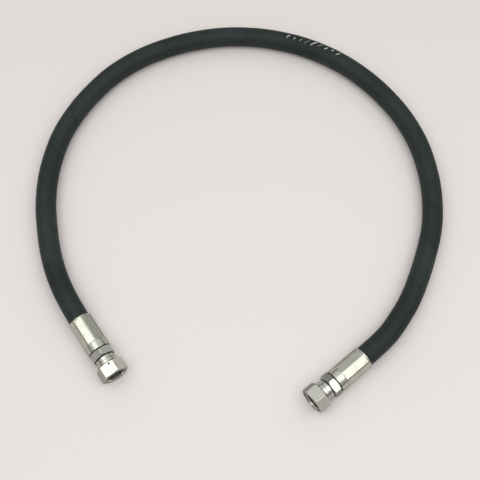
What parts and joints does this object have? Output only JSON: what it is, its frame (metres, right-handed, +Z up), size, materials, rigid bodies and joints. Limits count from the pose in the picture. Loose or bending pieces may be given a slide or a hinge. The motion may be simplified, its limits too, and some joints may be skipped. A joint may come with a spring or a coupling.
{
  "type": "hydraulic hose assembly",
  "caption": "Rubber hydraulic hose bent in an open ring, with a crimped ferrule, hexagonal stem and threaded swivel nut at each end.",
  "frame": {"origin": "on the floor, midway between the two fittings: the bottom centre of the box round the rigid pieces", "axes": "+X from fitting a to fitting b, +Y from the fittings towards the far side of the hose's ring, +Z up"},
  "size_m": [0.4603, 0.4712, 0.0293],
  "materials": {
    "cover_rubber": "matt, with cloth-wrap marks",
    "inner_rubber": "smooth",
    "braid_wire": "brass-coated braided wire",
    "zinc_plated_steel": "bright zinc plating",
    "spring_wire": "drawn"
  },
  "bodies": {
    "hose": {"hose_cover": "cover_rubber", "inner_tube": "inner_rubber", "inner_braid": "braid_wire", "interlayer": "inner_rubber", "outer_braid": "braid_wire", "ferrule_a": "zinc_plated_steel", "ferrule_b": "zinc_plated_steel", "stem_a": "zinc_plated_steel", "stem_b": "zinc_plated_steel"},
    "nut_a": {"swivel_nut_a": "zinc_plated_steel", "thrust_wire_a": "spring_wire"},
    "nut_b": {"swivel_nut_b": "zinc_plated_steel", "thrust_wire_b": "spring_wire"}
  },
  "joints": [
    {"name": "nut_a_spin", "type": "hinge", "parent": "hose", "child": "nut_a", "pos_m": [-0.11099, -0.00995, 0.01465], "axis": [0.5764, -0.8171, 0], "continuous": true},
    {"name": "nut_b_spin", "type": "hinge", "parent": "hose", "child": "nut_b", "pos_m": [0.10108, -0.03602, 0.01465], "axis": [-0.7581, -0.6521, 0], "continuous": true}
  ]
}
